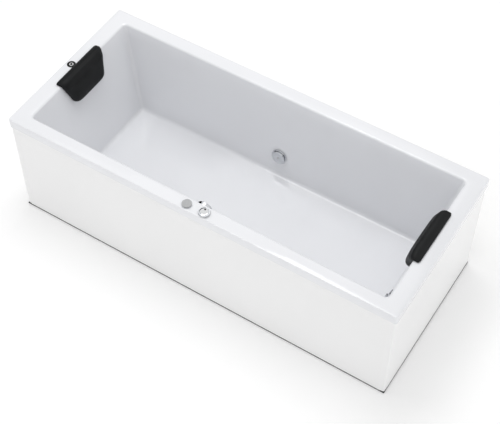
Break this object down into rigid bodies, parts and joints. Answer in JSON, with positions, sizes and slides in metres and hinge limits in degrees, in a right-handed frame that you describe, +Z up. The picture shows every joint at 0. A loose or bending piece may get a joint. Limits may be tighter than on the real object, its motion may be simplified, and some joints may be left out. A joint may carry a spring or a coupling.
{
  "type": "jetted bathtub",
  "caption": "Rectangular jetted bathtub with flat panels, water jets in the near wall and right end, bath waste with overflow knob, pump and pipework, black headrests.",
  "frame": {"origin": "on the floor under the middle of the rim", "axes": "+X along the bath towards the end with the end jets, +Y towards the wall side, +Z up"},
  "size_m": [1.75, 0.75, 0.5606],
  "materials": {
    "acrylic": "white sanitary acrylic, high gloss",
    "panel_acrylic": "white acrylic sheet, satin gloss",
    "particle_board": "raw particle board",
    "batten_wood": "planed softwood",
    "frame_steel": "grey powder coat",
    "zinc_steel": "zinc plated",
    "foot_plastic": "black moulded",
    "clip_plastic": "grey moulded",
    "chrome": "polished chrome plate",
    "grey_disc": "satin grey plate",
    "pipe_plastic": "white rigid pipe",
    "hose_plastic": "light grey pipe",
    "motor_alloy": "die-cast, painted grey",
    "pump_plastic": "glass-filled black",
    "vane_plastic": "natural moulded",
    "rubber_black": "black rubber",
    "stainless": "turned stainless",
    "pad_black": "soft self-skinned foam, satin black"
  },
  "bodies": {
    "bath": {"tub_shell": "acrylic", "base_board": "particle_board", "rim_battens": "batten_wood", "frame_rails": "frame_steel", "frame_uprights": "frame_steel", "lock_nuts": "zinc_steel", "front_panel": "panel_acrylic", "left_end_panel": "panel_acrylic", "right_end_panel": "panel_acrylic", "corner_strips": "panel_acrylic", "panel_clips": "clip_plastic", "suction_cover": "chrome", "suction_body": "pipe_plastic", "suction_pipe": "pipe_plastic", "pump_motor": "motor_alloy", "pump_volute": "pump_plastic", "pump_fan_cover": "pump_plastic", "pump_terminal_box": "pump_plastic", "pump_tray": "frame_steel", "pump_mounts": "rubber_black", "pressure_pipe": "pipe_plastic", "jet_bodies": "pipe_plastic", "fitting_nuts": "pipe_plastic", "fitting_gaskets": "rubber_black", "air_pipe": "hose_plastic", "air_regulator_body": "pipe_plastic", "button_body": "chrome", "button_spring": "stainless", "control_lines": "hose_plastic", "overflow_body": "pipe_plastic", "waste_pipes": "pipe_plastic", "drain_flange": "chrome", "drain_body": "pipe_plastic"},
    "pump_rotor": {"pump_shaft": "stainless", "pump_impeller": "vane_plastic", "pump_fan": "vane_plastic"},
    "air_knob": {"air_knob": "chrome"},
    "button": {"button_cap": "grey_disc"},
    "overflow_knob": {"overflow_knob": "chrome"},
    "drain_plug": {"drain_plug": "chrome"},
    "headrest_left": {"headrest_left": "pad_black", "headrest_cup": "rubber_black"},
    "headrest_right": {"headrest_right": "pad_black"},
    "foot_1": {"foot_1": "foot_plastic"},
    "foot_2": {"foot_2": "foot_plastic"},
    "foot_3": {"foot_3": "foot_plastic"},
    "foot_4": {"foot_4": "foot_plastic"},
    "jet_ring_1": {"jet_ring_1": "chrome"},
    "jet_nozzle_1": {"jet_nozzle_1": "chrome"},
    "jet_ring_2": {"jet_ring_2": "chrome"},
    "jet_nozzle_2": {"jet_nozzle_2": "chrome"},
    "jet_ring_3": {"jet_ring_3": "chrome"},
    "jet_nozzle_3": {"jet_nozzle_3": "chrome"},
    "jet_ring_4": {"jet_ring_4": "chrome"},
    "jet_nozzle_4": {"jet_nozzle_4": "chrome"},
    "jet_ring_5": {"jet_ring_5": "chrome"},
    "jet_nozzle_5": {"jet_nozzle_5": "chrome"},
    "jet_ring_6": {"jet_ring_6": "chrome"},
    "jet_nozzle_6": {"jet_nozzle_6": "chrome"}
  },
  "joints": [
    {"name": "foot_1_turn", "type": "hinge", "parent": "bath", "child": "foot_1", "pos_m": [-0.69, -0.29, 0.03], "axis": [0, 0, 1], "continuous": true},
    {"name": "foot_2_turn", "type": "hinge", "parent": "bath", "child": "foot_2", "pos_m": [0.69, -0.29, 0.03], "axis": [0, 0, 1], "continuous": true},
    {"name": "foot_3_turn", "type": "hinge", "parent": "bath", "child": "foot_3", "pos_m": [-0.69, 0.29, 0.03], "axis": [0, 0, 1], "continuous": true},
    {"name": "foot_4_turn", "type": "hinge", "parent": "bath", "child": "foot_4", "pos_m": [0.69, 0.29, 0.03], "axis": [0, 0, 1], "continuous": true},
    {"name": "pump_spin", "type": "hinge", "parent": "bath", "child": "pump_rotor", "pos_m": [-0.8, 0.1, 0.096], "axis": [0, 1, 0], "continuous": true},
    {"name": "jet_ring_1_turn", "type": "hinge", "parent": "bath", "child": "jet_ring_1", "pos_m": [-0.48, -0.27879, 0.255], "axis": [0, 0.992, 0.126], "range_deg": [0, 90]},
    {"name": "jet_nozzle_1_tilt", "type": "hinge", "parent": "jet_ring_1", "child": "jet_nozzle_1", "pos_m": [-0.48, -0.27681, 0.25525], "axis": [1, 0, 0], "range_deg": [-12, 12]},
    {"name": "jet_ring_2_turn", "type": "hinge", "parent": "bath", "child": "jet_ring_2", "pos_m": [-0.17, -0.27879, 0.255], "axis": [0, 0.992, 0.126], "range_deg": [0, 90]},
    {"name": "jet_nozzle_2_tilt", "type": "hinge", "parent": "jet_ring_2", "child": "jet_nozzle_2", "pos_m": [-0.17, -0.27681, 0.25525], "axis": [1, 0, 0], "range_deg": [-12, 12]},
    {"name": "jet_ring_3_turn", "type": "hinge", "parent": "bath", "child": "jet_ring_3", "pos_m": [0.17, -0.27879, 0.255], "axis": [0, 0.992, 0.126], "range_deg": [0, 90]},
    {"name": "jet_nozzle_3_tilt", "type": "hinge", "parent": "jet_ring_3", "child": "jet_nozzle_3", "pos_m": [0.17, -0.27681, 0.25525], "axis": [1, 0, 0], "range_deg": [-12, 12]},
    {"name": "jet_ring_4_turn", "type": "hinge", "parent": "bath", "child": "jet_ring_4", "pos_m": [0.48, -0.27879, 0.255], "axis": [0, 0.992, 0.126], "range_deg": [0, 90]},
    {"name": "jet_nozzle_4_tilt", "type": "hinge", "parent": "jet_ring_4", "child": "jet_nozzle_4", "pos_m": [0.48, -0.27681, 0.25525], "axis": [1, 0, 0], "range_deg": [-12, 12]},
    {"name": "jet_ring_5_turn", "type": "hinge", "parent": "bath", "child": "jet_ring_5", "pos_m": [0.74062, -0.13, 0.255], "axis": [-0.9754, 0, 0.2203], "range_deg": [0, 90]},
    {"name": "jet_nozzle_5_tilt", "type": "hinge", "parent": "jet_ring_5", "child": "jet_nozzle_5", "pos_m": [0.73867, -0.13, 0.25544], "axis": [0, 1, 0], "range_deg": [-12, 12]},
    {"name": "jet_ring_6_turn", "type": "hinge", "parent": "bath", "child": "jet_ring_6", "pos_m": [0.74062, 0.13, 0.255], "axis": [-0.9754, 0, 0.2203], "range_deg": [0, 90]},
    {"name": "jet_nozzle_6_tilt", "type": "hinge", "parent": "jet_ring_6", "child": "jet_nozzle_6", "pos_m": [0.73867, 0.13, 0.25544], "axis": [0, 1, 0], "range_deg": [-12, 12]},
    {"name": "air_knob_turn", "type": "hinge", "parent": "bath", "child": "air_knob", "pos_m": [0.045, -0.349, 0.54], "axis": [0, 0, 1], "range_deg": [0, 180]},
    {"name": "button_press", "type": "slide", "parent": "bath", "child": "button", "axis": [0, 0, -1], "range_m": [0, 0.003], "stiffness_N_per_m": 300, "springref_m": -0.002, "deforming": ["button_spring"]},
    {"name": "overflow_turn", "type": "hinge", "parent": "bath", "child": "overflow_knob", "pos_m": [0, -0.3056, 0.466], "axis": [0, 0.992, 0.126], "range_deg": [0, 90]},
    {"name": "plug_lift", "type": "slide", "parent": "bath", "child": "drain_plug", "axis": [0, 0, 1], "range_m": [0, 0.01]},
    {"name": "headrest_left_lift", "type": "slide", "parent": "bath", "child": "headrest_left", "axis": [0, 0, 1], "range_m": [0, 0.12]},
    {"name": "headrest_right_lift", "type": "slide", "parent": "bath", "child": "headrest_right", "axis": [0, 0, 1], "range_m": [0, 0.12]}
  ],
  "couplings": [
    {"joint": "plug_lift", "follows": "overflow_turn", "m_per_rad": 0.0063662}
  ]
}
